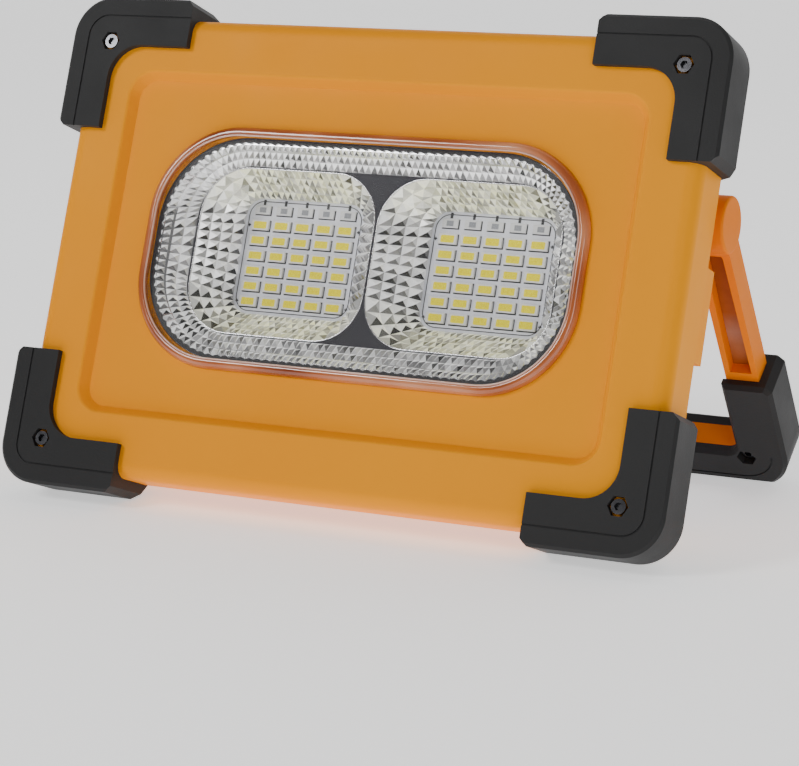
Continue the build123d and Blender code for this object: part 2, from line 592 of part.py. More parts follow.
with BuildPart() as port_hinge_lugs:
    for low, high in ((-5.2, -3.3), (3.3, 5.2)):
        with BuildSketch(at(PORT_DEPTH + low)):
            with Locations((HINGE_X + 0.75, COVER_HINGE_Y)):
                Rectangle(1.5, 2 * KNUCKLE_RADIUS)
            with Locations((HINGE_X, COVER_HINGE_Y)):
                Circle(KNUCKLE_RADIUS)
        extrude(amount=low - high)
    pegs([(HINGE_X, COVER_HINGE_Y)], COVER_PIN_RADIUS, PORT_DEPTH - 6, PORT_DEPTH + 6, Mode.SUBTRACT)
keep(port_hinge_lugs, "port_hinge_lugs")

# ---------------------------------------------------------------- solar panel in the rear pocket
CELL_COUNT = (11, 2)
CELL_SIZE = (12.9, 43.6)
CELL_PITCH = (14.15, 48.6)
SOLAR_HALF = (BOX_HALF - PANEL_RIM - 0.3, PANEL_LENGTH / 2 - PANEL_RIM - 0.3)
SOLAR_BACKING = 1.2
CELL_THICK = 0.25
SOLAR_COVER = 0.5

with BuildPart() as solar_backing:
    with BuildSketch(PANEL.offset(-PANEL_POCKET)):
        RectangleRounded(2 * SOLAR_HALF[0], 2 * SOLAR_HALF[1], 0.8)
    extrude(amount=SOLAR_BACKING)
keep(solar_backing, "solar_backing")

with BuildPart() as solar_cells:
    with BuildSketch(PANEL.offset(-PANEL_POCKET + SOLAR_BACKING)):
        with GridLocations(CELL_PITCH[0], CELL_PITCH[1], CELL_COUNT[0], CELL_COUNT[1]):
            Rectangle(CELL_SIZE[0], CELL_SIZE[1])
    extrude(amount=CELL_THICK)
keep(solar_cells, "solar_cells")

with BuildPart() as solar_cover:
    with BuildSketch(PANEL.offset(-PANEL_POCKET + SOLAR_BACKING + CELL_THICK)):
        RectangleRounded(2 * SOLAR_HALF[0], 2 * SOLAR_HALF[1], 0.8)
    extrude(amount=SOLAR_COVER)
keep(solar_cover, "solar_cover")

with BuildPart() as solar_wires:
    pegs(SOLAR_WIRE_POINTS, 0.6, CONTROL_BACK, back_depth(24.0, PANEL_POCKET) - 0.2)
keep(solar_wires, "solar_wires")

# ---------------------------------------------------------------- batteries
CELL_RADIUS = 9.2
CELL_LENGTH = 65.0
ROWS = [(22.0, -50.6), (28.2, -30.3)]  # (depth, height) of the two rows of cells
ROW_GAP = hypot(ROWS[1][0] - ROWS[0][0], ROWS[1][1] - ROWS[0][1])
ROW_ANGLE = degrees(atan2(ROWS[1][1] - ROWS[0][1], ROWS[1][0] - ROWS[0][0]))
ROW_MID = ((ROWS[0][0] + ROWS[1][0]) / 2, (ROWS[0][1] + ROWS[1][1]) / 2)
CELL_START = 1.2

with BuildPart() as battery_cells:
    for side in (-1, 1):
        with BuildSketch(SIDE.offset(side * CELL_START)):
            with Locations(*ROWS):
                Circle(CELL_RADIUS)
        extrude(amount=side * CELL_LENGTH)
keep(battery_cells, "battery_cells")

with BuildPart() as battery_holder:
    end = CELL_START + CELL_LENGTH
    for x, thick in ((-end - 2, 2.0), (-CELL_START, 2 * CELL_START), (end, 2.0)):
        with BuildSketch(SIDE.offset(x)):
            with Locations(Location((ROW_MID[0], ROW_MID[1], 0), (0, 0, ROW_ANGLE))):
                SlotCenterToCenter(ROW_GAP, 2 * CELL_RADIUS + 1.2)
        extrude(amount=thick)
    for offset_mm in (-8.4, 8.4):
        with BuildSketch(SIDE.offset(-end - 2)):
            with Locations(Location((ROW_MID[0], ROW_MID[1], 0), (0, 0, ROW_ANGLE))):
                with Locations((0, offset_mm)):
                    Rectangle(4.0, 2.6)
        extrude(amount=2 * end + 4)
keep(battery_holder, "battery_holder")

with BuildPart() as battery_contacts:
    for x in (-CELL_START - CELL_LENGTH - 2.3, CELL_START + CELL_LENGTH + 2.0):
        with BuildSketch(SIDE.offset(x)):
            with Locations(Location((ROW_MID[0], ROW_MID[1], 0), (0, 0, ROW_ANGLE))):
                Rectangle(ROW_GAP + 6, 6)
        extrude(amount=0.3)
keep(battery_contacts, "battery_contacts")

# battery leads: from the right contact plate round to the front of the control board
LEAD_RADIUS = 0.6


def lead(points, radius):
    """A soft wire along straight runs joined by tangent arcs, given as (x, height, depth) points."""
    route = [FACE.from_local_coords(Vector(x, y, -d)) for x, y, d in points]
    bends = []
    for before, corner, after in zip(route, route[1:], route[2:]):
        turn = radians((corner - before).get_angle(after - corner))
        shorter = min((corner - before).length, (after - corner).length)
        bends.append(0.45 * shorter / tan(turn / 2))
    with BuildLine() as path:
        FilletPolyline(*route, radius=bends)
    with BuildSketch(Plane(origin=path.line @ 0, z_dir=path.line % 0)) as section:
        Circle(radius)
    sweep(section.sketch, path=path.line)


with BuildPart() as battery_leads:
    contact_x = CELL_START + CELL_LENGTH + 2.3
    for x, y in ((contact_x, -34.0), (contact_x, -37.0)):
        lead(
            [(x, y, 27.0), (x + 7, y, 27.0), (x + 7, y + 9, 24.5), (x + 7, -15.0, 25.0),
             (x + 7 - 2 * (y + 34), -15.0, BOARD_FRONT)],
            LEAD_RADIUS,
        )
keep(battery_leads, "battery_leads")

# ---------------------------------------------------------------- corner guards
GUARD_HALF = grown(SLAB_HALF, GUARD_PROUD)
HEX_RADIUS = 3.05

with BuildPart() as guard_blank:
    pad((0, 0), GUARD_HALF, GUARD_ROUND, GUARD_FRONT, GUARD_BACK)
    ordered = guard_blank.faces().sort_by(OUTWARD)
    chamfer(ordered[-1].edges(), 0.9)
    chamfer(ordered[0].edges(), GUARD_BEVEL)
    crease = grown(GUARD_HALF, -CREASE_INSET)
    with BuildSketch(at(GUARD_FRONT)):
        RectangleRounded(2 * crease[0], 2 * crease[1], GUARD_ROUND - CREASE_INSET)
        groove = grown(crease, -CREASE_SIZE)
        RectangleRounded(
            2 * groove[0],
            2 * groove[1],
            GUARD_ROUND - CREASE_INSET - CREASE_SIZE,
            mode=Mode.SUBTRACT,
        )
    extrude(amount=-0.35, mode=Mode.SUBTRACT)
    pegs(SCREW_POINTS, 2.5, SLAB_DEPTH, GUARD_BACK, Mode.SUBTRACT)
    with BuildSketch(at(GUARD_FRONT)):
        with Locations(*SCREW_POINTS):
            RegularPolygon(HEX_RADIUS, 6)
    extrude(amount=GUARD_FRONT, mode=Mode.SUBTRACT)
    add(slab_blank.part, mode=Mode.SUBTRACT)
    # room for the rear housing, whose foot comes down behind the lower guards
    box_middle = (BOX_TOP_FRONT[1] + BOX_BOTTOM_FRONT[1]) / 2
    box_room = (BOX_HALF + 0.3, BOX_TOP_FRONT[1] - box_middle + 0.3)
    pad((0, box_middle), box_room, 0.5, SLAB_DEPTH, GUARD_BACK + 1, Mode.SUBTRACT)

for name, sx, sy in (
    ("top_left", -1, 1),
    ("top_right", 1, 1),
    ("bottom_left", -1, -1),
    ("bottom_right", 1, -1),
):
    with BuildPart() as corner_guard:
        add(guard_blank.part)
        far_x, far_y = GUARD_HALF[0] + 1, GUARD_HALF[1] + 1
        end_x, end_y = GUARD_HALF[0] - GUARD_LEG, GUARD_HALF[1] - GUARD_LEG
        in_x, in_y = GUARD_HALF[0] - GUARD_WIDTH, GUARD_HALF[1] - GUARD_WIDTH
        cut = 2.0
        outline = [
            (end_x, in_y),
            (in_x, in_y),
            (in_x, end_y),
            (GUARD_HALF[0] - cut, end_y),
            (GUARD_HALF[0], end_y + cut),
            (far_x, end_y + cut),
            (far_x, far_y),
            (end_x + cut, far_y),
            (end_x + cut, GUARD_HALF[1]),
            (end_x, GUARD_HALF[1] - cut),
        ]
        with BuildSketch(at(GUARD_FRONT - 1)) as guard_outline:
            Polygon(*[(sx * x, sy * y) for x, y in outline], align=None)
            elbow = guard_outline.vertices().sort_by_distance((sx * in_x, sy * in_y, 0))[0]
            fillet(elbow, GUARD_INNER_ROUND)
        extrude(amount=GUARD_FRONT - GUARD_BACK - 2, mode=Mode.INTERSECT)
    keep(corner_guard, f"corner_guard_{name}")

with BuildPart() as guard_screws:
    pegs(SCREW_POINTS, SCREW_RADIUS, 0, SLAB_DEPTH + 1.5)
    pegs(SCREW_POINTS, 2.1, -1.7, 0)
    with BuildSketch(at(-1.7)):
        with Locations(*SCREW_POINTS):
            RegularPolygon(1.2, 6)
    extrude(amount=-1.0, mode=Mode.SUBTRACT)
keep(guard_screws, "guard_screws")

with BuildPart() as guard_nuts:
    pegs(SCREW_POINTS, 2.4, BOX_TOP_FRONT[0], GUARD_BACK + 0.3)
    ends = guard_nuts.faces().filter_by(FACE).group_by(OUTWARD)[0]
    fillet(ends.edges(), 0.5)
    pegs(SCREW_POINTS, SCREW_RADIUS + 0.03, BOX_TOP_FRONT[0], SLAB_DEPTH + 1.6, Mode.SUBTRACT)
keep(guard_nuts, "guard_nuts")

# ---------------------------------------------------------------- stand
ARM_MID = (ARM_INNER + ARM_OUTER) / 2
ARM_WIDTH = ARM_OUTER - ARM_INNER
BAR_TOP = ARM_LENGTH - BAR_WIDTH
FRAME_ROUND = 9.0
CHANNEL_TOP = 7.6  # channel in the arm's front face, measured from the hinge axis
CHANNEL_END = 55.5
CHANNEL_TOP_WIDTH = 5.4
CHANNEL_END_WIDTH = 6.6
CHANNEL_DEEP = 3.4
MAGNET = (5.0, 19.0, 2.8)  # across the arm, along it, thick
MAGNET_POCKET = 3.0
MAGNET_S = 44.5
PIN_SEAT = 7.0  # how deep the hinge pin sits in the boss
FOOT_SCREW_X = 92.2
FOOT_SCREW_S = 89.2
FOOT_POINTS = [(side * FOOT_SCREW_X, -FOOT_SCREW_S) for side in (-1, 1)]
FOOT_HEAD_SEAT = 4.0
FOOT_NUT_SEAT = -6.5


def arm_at(forward):
    """The plane parallel to the stand, forward of its mid-plane (towards the slab)."""
    return STAND.offset(forward)


def foot_pegs(radius, front, back, mode=Mode.ADD):
    """Round pegs or holes at the two foot screws, between two planes of the stand."""
    with BuildSketch(arm_at(front)) as circles:
        with Locations(*FOOT_POINTS):
            Circle(radius)
    extrude(circles.sketch, amount=back - front, mode=mode)


HINGE = Plane(origin=PIVOT_POINT, x_dir=STAND.z_dir, z_dir=(1, 0, 0))  # y runs down the arm

with BuildPart() as stand_frame:
    with BuildSketch(arm_at(ARM_HALF_THICK)) as frame_outline:
        for side in (-1, 1):
            with Locations((side * ARM_MID, -ARM_LENGTH / 2)):
                Rectangle(ARM_WIDTH, ARM_LENGTH)
        with Locations((0, -ARM_LENGTH + BAR_WIDTH / 2)):
            Rectangle(2 * ARM_OUTER, BAR_WIDTH)
        fillet(frame_outline.vertices().filter_by(lambda v: v.Y < 0.1 - ARM_LENGTH), FRAME_ROUND)
        elbows = frame_outline.vertices().filter_by(
            lambda v: abs(v.Y + BAR_TOP) < 0.1 and abs(v.X) < ARM_INNER + 1
        )
        fillet(elbows, 4.5)
    extrude(amount=-2 * ARM_HALF_THICK)
    for side in (-1, 1):
        # round hinge boss that blends into the arm
        with BuildSketch(HINGE.offset(side * ARM_INNER)) as boss:
            Circle(BOSS_RADIUS)
            with Locations((0, 10)):
                Rectangle(2 * ARM_HALF_THICK, 20)
            fillet(boss.vertices().filter_by(lambda v: 2 < v.Y < 9), 3.0)
        extrude(amount=side * ARM_WIDTH)
        with BuildSketch(HINGE.offset(side * ARM_OUTER)):
            Circle(BOSS_RADIUS)
        extrude(amount=side * (BOSS_END - ARM_OUTER))
    rims = stand_frame.edges().filter_by(GeomType.CIRCLE)
    rims = rims.filter_by(lambda e: abs(abs(e.arc_center.X) - BOSS_END) < 0.01)
    fillet(rims, 0.8)
    for side in (-1, 1):
        # recessed channel in the front face, wider towards the foot, with a rounded top
        with BuildSketch(arm_at(ARM_HALF_THICK)) as channel:
            Polygon(
                (side * ARM_MID - CHANNEL_TOP_WIDTH / 2, -CHANNEL_TOP),
                (side * ARM_MID + CHANNEL_TOP_WIDTH / 2, -CHANNEL_TOP),
                (side * ARM_MID + CHANNEL_END_WIDTH / 2, -CHANNEL_END),
                (side * ARM_MID - CHANNEL_END_WIDTH / 2, -CHANNEL_END),
                align=None,
            )
            fillet(channel.vertices().sort_by(Axis.Y)[-2:], CHANNEL_TOP_WIDTH / 2 - 0.2)
        extrude(amount=-CHANNEL_DEEP, mode=Mode.SUBTRACT)
        # pocket for the magnet, open at the back face
        with BuildSketch(arm_at(-ARM_HALF_THICK)):
            with Locations((side * ARM_MID, -MAGNET_S)):
                Rectangle(MAGNET[0] + 0.06, MAGNET[1] + 0.06)
        extrude(amount=MAGNET_POCKET, mode=Mode.SUBTRACT)
        with BuildSketch(HINGE.offset(side * ARM_INNER)):
            Circle(PIN_RADIUS)
        extrude(amount=side * PIN_SEAT, mode=Mode.SUBTRACT)
    foot_pegs(SCREW_CLEARANCE, ARM_HALF_THICK, -ARM_HALF_THICK, Mode.SUBTRACT)
keep(stand_frame, "stand_frame")

FOOT_EDGE = FOOT_LENGTH - FOOT_LEG
FOOT_END = FOOT_OUTER - 40.0

for name, side in (("left", -1), ("right", 1)):
    with BuildPart() as stand_guard:
        with BuildSketch(arm_at(FOOT_FRONT)) as foot_outline:
            Polygon(
                (side * FOOT_INNER, -FOOT_START),
                (side * FOOT_OUTER, -FOOT_START),
                (side * FOOT_OUTER, -FOOT_LENGTH),
                (side * FOOT_END, -FOOT_LENGTH),
                (side * FOOT_END, -FOOT_EDGE),
                (side * FOOT_INNER, -FOOT_EDGE),
                align=None,
            )
            corners = foot_outline.vertices()
            fillet(corners.sort_by_distance((side * FOOT_OUTER, -FOOT_LENGTH, 0))[0], 14.5)
            corners = foot_outline.vertices()
            fillet(corners.sort_by_distance((side * FOOT_INNER, -FOOT_EDGE, 0))[0], 3.5)
            for tip in ((side * FOOT_OUTER, -FOOT_START, 0), (side * FOOT_END, -FOOT_LENGTH, 0)):
                chamfer(foot_outline.vertices().sort_by_distance(tip)[0], 2.0)
        extrude(amount=-FOOT_FRONT - FOOT_BACK)
        ends = stand_guard.faces().filter_by(STAND).sort_by(Axis(STAND.origin, STAND.z_dir))
        chamfer(ends[-1].edges(), 1.2)
        chamfer(ends[0].edges(), 2.2)
        # wide bevel along the bottom of the front, with a fine crease above it
        with BuildSketch(HINGE.offset(-FOOT_OUTER - 1)):
            Polygon(
                (FOOT_FRONT + 1, FOOT_LENGTH - FOOT_BEVEL - 1),
                (FOOT_FRONT + 1, FOOT_LENGTH + 1),
                (FOOT_FRONT - FOOT_BEVEL - 1, FOOT_LENGTH + 1),
                align=None,
            )
        extrude(amount=2 * FOOT_OUTER + 2, mode=Mode.SUBTRACT)
        with BuildSketch(arm_at(FOOT_FRONT)):
            RectangleRounded(2 * (FOOT_OUTER - 4.2), 2 * (FOOT_LENGTH - 5.4), 10.5)
            RectangleRounded(2 * (FOOT_OUTER - 4.7), 2 * (FOOT_LENGTH - 5.9), 10.0, mode=Mode.SUBTRACT)
            with Locations((0, -FOOT_LENGTH)):
                Rectangle(2 * FOOT_OUTER, 2 * 15.0, mode=Mode.INTERSECT)
        extrude(amount=-0.35, mode=Mode.SUBTRACT)
        # the space taken by the stand's arm and bar
        with BuildSketch(arm_at(ARM_HALF_THICK + 0.03)):
            with Locations((0, -ARM_LENGTH / 2)):
                RectangleRounded(2 * ARM_OUTER + 0.06, ARM_LENGTH + 0.06, FRAME_ROUND)
        extrude(amount=-2 * ARM_HALF_THICK - 0.06, mode=Mode.SUBTRACT)
        foot_pegs(SCREW_CLEARANCE, FOOT_FRONT, -FOOT_BACK, Mode.SUBTRACT)
        foot_pegs(2.5, FOOT_NUT_SEAT, -FOOT_BACK - 1, Mode.SUBTRACT)
        with BuildSketch(arm_at(FOOT_HEAD_SEAT)):
            with Locations(*FOOT_POINTS):
                RegularPolygon(HEX_RADIUS, 6)
        extrude(amount=FOOT_FRONT, mode=Mode.SUBTRACT)
    keep(stand_guard, f"stand_guard_{name}")

with BuildPart() as stand_screws:
    foot_pegs(SCREW_RADIUS, FOOT_HEAD_SEAT, FOOT_NUT_SEAT - 2)
    foot_pegs(2.1, FOOT_HEAD_SEAT + 1.4, FOOT_HEAD_SEAT)
    with BuildSketch(arm_at(FOOT_HEAD_SEAT + 1.4)):
        with Locations(*FOOT_POINTS):
            RegularPolygon(1.2, 6)
    extrude(amount=-1.0, mode=Mode.SUBTRACT)
keep(stand_screws, "stand_screws")

with BuildPart() as stand_nuts:
    foot_pegs(2.4, FOOT_NUT_SEAT, -FOOT_BACK - 0.3)
    nut_ends = stand_nuts.faces().filter_by(STAND).group_by(Axis(STAND.origin, STAND.z_dir))[0]
    fillet(nut_ends.edges(), 0.5)
    foot_pegs(SCREW_RADIUS + 0.03, FOOT_NUT_SEAT, FOOT_NUT_SEAT - 2.1, Mode.SUBTRACT)
keep(stand_nuts, "stand_nuts")

with BuildPart() as arm_magnets:
    with BuildSketch(arm_at(-ARM_HALF_THICK + 0.1)):
        with Locations((ARM_MID, -MAGNET_S), (-ARM_MID, -MAGNET_S)):
            Rectangle(MAGNET[0], MAGNET[1])
    extrude(amount=MAGNET[2])
keep(arm_magnets, "arm_magnets")

# ---------------------------------------------------------------- stand hinge
HINGE_NUT = (79.6, 83.4)  # how far from the middle the retaining nuts sit, inside the side walls
PIN_START = 79.0

with BuildPart() as pivot_pins:
    for side in (-1, 1):
        with BuildSketch(HINGE.offset(side * PIN_START)):
            Circle(PIN_RADIUS)
        extrude(amount=side * (ARM_INNER + PIN_SEAT - PIN_START))
    pin_tips = pivot_pins.edges().filter_by(GeomType.CIRCLE)
    pin_tips = pin_tips.filter_by(lambda e: abs(abs(e.arc_center.X) - PIN_START) < 0.01)
    chamfer(pin_tips, 0.4)
keep(pivot_pins, "pivot_pins")

with BuildPart() as hinge_nuts:
    for side in (-1, 1):
        with BuildSketch(HINGE.offset(side * HINGE_NUT[0])):
            RegularPolygon(4.5, 6)
            Circle(PIN_RADIUS + 0.02, mode=Mode.SUBTRACT)
        extrude(amount=side * (HINGE_NUT[1] - HINGE_NUT[0]))
keep(hinge_nuts, "hinge_nuts")

with BuildPart() as friction_washers:
    for side in (-1, 1):
        with BuildSketch(HINGE.offset(side * HINGE_NUT[1])):
            Circle(4.4)
            Circle(PIN_RADIUS + 0.02, mode=Mode.SUBTRACT)
        extrude(amount=side * (BOX_HALF - BOX_WALL - 0.3 - HINGE_NUT[1]))
keep(friction_washers, "friction_washers")
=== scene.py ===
"""Looks of the rechargeable flood light: materials for the CAD nodes, faceted mirrors, lens rim,
LED details, solar panel lines, studio and camera. Lengths in millimetres are in the slab's own frame
(u right, v up the slab, w behind its front rim) and are turned into the row frame by at()."""
import json
import math
import random

import bmesh
import bpy
from mathutils import Matrix, Vector


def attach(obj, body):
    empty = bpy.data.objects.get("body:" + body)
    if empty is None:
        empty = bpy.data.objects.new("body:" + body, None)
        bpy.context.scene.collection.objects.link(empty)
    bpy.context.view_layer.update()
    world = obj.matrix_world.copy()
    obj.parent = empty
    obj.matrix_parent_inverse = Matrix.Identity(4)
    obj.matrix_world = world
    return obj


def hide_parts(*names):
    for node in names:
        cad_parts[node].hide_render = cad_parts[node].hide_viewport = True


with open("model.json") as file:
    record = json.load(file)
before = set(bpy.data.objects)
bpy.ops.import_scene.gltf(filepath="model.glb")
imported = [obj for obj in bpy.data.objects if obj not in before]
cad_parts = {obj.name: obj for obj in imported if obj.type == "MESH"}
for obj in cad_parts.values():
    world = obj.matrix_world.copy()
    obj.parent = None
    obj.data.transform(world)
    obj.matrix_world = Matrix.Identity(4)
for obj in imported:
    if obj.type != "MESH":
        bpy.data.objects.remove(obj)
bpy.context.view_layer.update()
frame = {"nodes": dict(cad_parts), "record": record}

# ------------------------------------------------------------------ the slab's frame
LEAN = math.radians(21.0182)
CENTRE = Vector((0.0, -35.4729, 74.2919))
ACROSS = Vector((1.0, 0.0, 0.0))
UPWARD = Vector((0.0, math.sin(LEAN), math.cos(LEAN)))
BACKWARD = Vector((0.0, math.cos(LEAN), -math.sin(LEAN)))


def turn(u, v, w):
    """A direction of the slab's frame in the row frame."""
    return ACROSS * u + UPWARD * v + BACKWARD * w


def at(u, v, w):
    """A point of the slab's frame, in millimetres, as a row-frame point in metres."""
    return (CENTRE + turn(u, v, w)) / 1000.0


# ------------------------------------------------------------------ materials
def new_material(name, color=(0.8, 0.8, 0.8), rough=0.5, metal=0.0, **sockets):
    mat = bpy.data.materials.new(name)
    mat.use_nodes = True
    shader = mat.node_tree.nodes["Principled BSDF"]
    shader.inputs["Base Color"].default_value = (*color, 1.0)
    shader.inputs["Roughness"].default_value = rough
    shader.inputs["Metallic"].default_value = metal
    for key, value in sockets.items():
        shader.inputs[key.replace("_", " ")].default_value = value
    mat.diffuse_color = (*color, 1.0)
    return mat


def node(mat, kind, **settings):
    made = mat.node_tree.nodes.new(kind)
    for key, value in settings.items():
        setattr(made, key, value)
    return made


def link(mat, out, into):
    mat.node_tree.links.new(out, into)


def coords(mat):
    return node(mat, "ShaderNodeTexCoord").outputs["Object"]


def noise(mat, scale, detail=3.0, rough=0.55):
    tex = node(mat, "ShaderNodeTexNoise")
    tex.inputs["Scale"].default_value = scale
    tex.inputs["Detail"].default_value = detail
    tex.inputs["Roughness"].default_value = rough
    link(mat, coords(mat), tex.inputs["Vector"])
    return tex.outputs["Fac"]


def ramp(mat, fac, *stops):
    made = node(mat, "ShaderNodeValToRGB")
    link(mat, fac, made.inputs["Fac"])
    elements = made.color_ramp.elements
    while len(elements) < len(stops):
        elements.new(0.5)
    for element, (place, color) in zip(elements, stops):
        element.position = place
        element.color = (*color, 1.0)
    return made.outputs["Color"]


def shader_of(mat):
    return mat.node_tree.nodes["Principled BSDF"]


def bump(mat, height, strength, distance):
    made = node(mat, "ShaderNodeBump")
    made.inputs["Strength"].default_value = strength
    made.inputs["Distance"].default_value = distance
    link(mat, height, made.inputs["Height"])
    link(mat, made.outputs["Normal"], shader_of(mat).inputs["Normal"])


def plastic(name, dark, light, rough, grain_scale, grain_strength, grain_depth=0.00006, **sockets):
    """Moulded plastic: slow tone drift, roughness patches and a fine moulded grain."""
    mid = tuple((a + b) / 2 for a, b in zip(dark, light))
    mat = new_material(name, mid, rough, **sockets)
    tint = ramp(mat, noise(mat, 9.0, 2.0), (0.3, dark), (0.7, light))
    link(mat, tint, shader_of(mat).inputs["Base Color"])
    low, high = max(rough - 0.06, 0.02), rough + 0.06
    patches = ramp(mat, noise(mat, 55.0, 4.0), (0.3, (low,) * 3), (0.7, (high,) * 3))
    link(mat, patches, shader_of(mat).inputs["Roughness"])
    bump(mat, noise(mat, grain_scale, 2.0), grain_strength, grain_depth)
    return mat


def metal(name, dark, light, rough, scratch=900.0):
    """Plated or milled metal with fine directional scratches."""
    mid = tuple((a + b) / 2 for a, b in zip(dark, light))
    mat = new_material(name, mid, rough, 1.0)
    patches = ramp(mat, noise(mat, 160.0, 4.0), (0.3, dark), (0.7, light))
    link(mat, patches, shader_of(mat).inputs["Base Color"])
    stretch = node(mat, "ShaderNodeMapping")
    stretch.inputs["Scale"].default_value = (0.15, 1.0, 1.0)
    link(mat, coords(mat), stretch.inputs["Vector"])
    tex = node(mat, "ShaderNodeTexNoise")
    tex.inputs["Scale"].default_value = scratch
    link(mat, stretch.outputs["Vector"], tex.inputs["Vector"])
    bump(mat, tex.outputs["Fac"], 0.25, 0.00003)
    return mat


ORANGE = plastic(
    "orange_abs", (0.97, 0.33, 0.0), (1.0, 0.37, 0.001), 0.42, 2600.0, 0.10, Specular_IOR_Level=0.05
)
ORANGE_REAR = plastic(
    "orange_abs_rear", (0.97, 0.32, 0.0), (1.0, 0.36, 0.001), 0.44, 2600.0, 0.10, Specular_IOR_Level=0.05
)
# the stand's orange is the same plastic made darker and redder: painted shade, for the shade the stand sits
# in
ORANGE_STAND_SHADED = plastic(
    "orange_abs_stand_shaded", (0.86, 0.20, 0.0), (0.92, 0.24, 0.0), 0.44, 2600.0, 0.10, Specular_IOR_Level=0.04
)
CHARCOAL = plastic(
    "charcoal_abs",
    (0.027, 0.027, 0.0275),
    (0.038, 0.038, 0.0385),
    0.5,
    1500.0,
    0.5,
    0.0001,
    Specular_IOR_Level=0.1,
)
BLACK = plastic("black_abs", (0.010, 0.010, 0.011), (0.018, 0.018, 0.019), 0.42, 1800.0, 0.3)
RUBBER = plastic("soft_rubber", (0.02, 0.02, 0.021), (0.035, 0.035, 0.037), 0.7, 1300.0, 0.4)
BAND = plastic(
    "seal_band", (0.014, 0.015, 0.017), (0.030, 0.031, 0.035), 0.5, 1100.0, 0.5, Specular_IOR_Level=0.3
)
SHELF = plastic(
    "reflector_shelf", (0.022, 0.021, 0.027), (0.042, 0.041, 0.050), 0.5, 700.0, 0.2, Specular_IOR_Level=0.12
)
BOARD_WHITE = plastic("board_white", (0.74, 0.75, 0.84), (0.82, 0.83, 0.90), 0.42, 1900.0, 0.15)
BOARD_GREEN = plastic("board_green", (0.01, 0.07, 0.03), (0.02, 0.11, 0.05), 0.4, 900.0, 0.2)
BODY_WHITE = plastic("led_body_white", (0.78, 0.77, 0.72), (0.86, 0.85, 0.80), 0.45, 1600.0, 0.1)
CHIP = plastic("component_black", (0.012, 0.012, 0.013), (0.03, 0.03, 0.032), 0.5, 1400.0, 0.2)
CHIP_WHITE = plastic("resistor_white", (0.62, 0.62, 0.64), (0.74, 0.74, 0.76), 0.4, 1400.0, 0.1)
MARK_GREY = plastic("resistor_mark", (0.20, 0.21, 0.24), (0.30, 0.31, 0.34), 0.5, 1400.0, 0.1)
# near-black for the print on the boards, also used for the painted shadows beside the LEDs
INK_AND_SHADOW = plastic("board_ink_and_shadow", (0.012, 0.012, 0.016), (0.02, 0.02, 0.024), 0.6, 1400.0, 0.1)
SLEEVE = plastic("cell_sleeve", (0.03, 0.12, 0.42), (0.05, 0.17, 0.5), 0.3, 800.0, 0.1)
WIRE = plastic("wire_red", (0.35, 0.01, 0.01), (0.5, 0.02, 0.015), 0.4, 900.0, 0.1)
LIGHT_PIPE = plastic("light_pipe", (0.6, 0.66, 0.7), (0.75, 0.8, 0.85), 0.25, 900.0, 0.05)
STEEL = metal("zinc_steel", (0.42, 0.43, 0.45), (0.62, 0.63, 0.65), 0.28)
SCREW = metal("screw_steel", (0.05, 0.05, 0.055), (0.14, 0.14, 0.15), 0.26)
ALUMINIUM = metal("aluminium_plate", (0.7, 0.71, 0.72), (0.8, 0.8, 0.81), 0.35)
MIRROR = metal("mirror_coat", (0.72, 0.72, 0.73), (0.84, 0.84, 0.85), 0.16, 400.0)
MAGNET = metal("magnet_plate", (0.42, 0.38, 0.44), (0.6, 0.56, 0.62), 0.32)


def phosphor():
    """Yellow silicone, deeper in the middle, with a fine sparkle of phosphor grains."""
    mat = new_material("phosphor", (0.9, 0.78, 0.0), 0.5, Specular_IOR_Level=0.03)
    link(
        mat,
        ramp(mat, noise(mat, 1500.0, 3.0), (0.3, (0.84, 0.70, 0.0)), (0.75, (0.95, 0.84, 0.0))),
        shader_of(mat).inputs["Base Color"],
    )
    # the phosphor glows faintly though the LEDs are not lit: painted light
    shader_of(mat).inputs["Emission Color"].default_value = (1.0, 0.82, 0.0, 1.0)
    shader_of(mat).inputs["Emission Strength"].default_value = 0.12
    bump(mat, noise(mat, 2200.0, 2.0), 0.2, 0.00003)
    return mat


def facet_metal(name, rough):
    """Vacuum-coated mirror facets. Each facet's tone, set from its tilt and a random share, is painted
    reflection, and the facets glow with it as painted light.
    """
    mat = new_material(name, (0.85, 0.85, 0.86), rough, 0.45)
    tone = node(mat, "ShaderNodeAttribute", attribute_name="tone")
    speck = noise(mat, 900.0, 3.0)
    mixed = node(mat, "ShaderNodeMix", data_type="RGBA", blend_type="MULTIPLY")
    mixed.inputs["Factor"].default_value = 0.35
    link(mat, tone.outputs["Color"], mixed.inputs["A"])
    link(mat, ramp(mat, speck, (0.3, (0.72, 0.72, 0.74)), (0.7, (1.0, 1.0, 1.0))), mixed.inputs["B"])
    link(mat, mixed.outputs["Result"], shader_of(mat).inputs["Base Color"])
    # the tone also drives a glow of the facets: painted reflection, the facets are no lamp
    link(mat, mixed.outputs["Result"], shader_of(mat).inputs["Emission Color"])
    shader_of(mat).inputs["Emission Strength"].default_value = 0.55
    bump(mat, noise(mat, 500.0, 2.0), 0.12, 0.00005)
    return mat


def clear_plastic(name, color, alpha, rough):
    mat = new_material(name, color, rough, Alpha=alpha, Specular_IOR_Level=0.2)
    bump(mat, noise(mat, 60.0, 2.0), 0.04, 0.0001)
    return mat


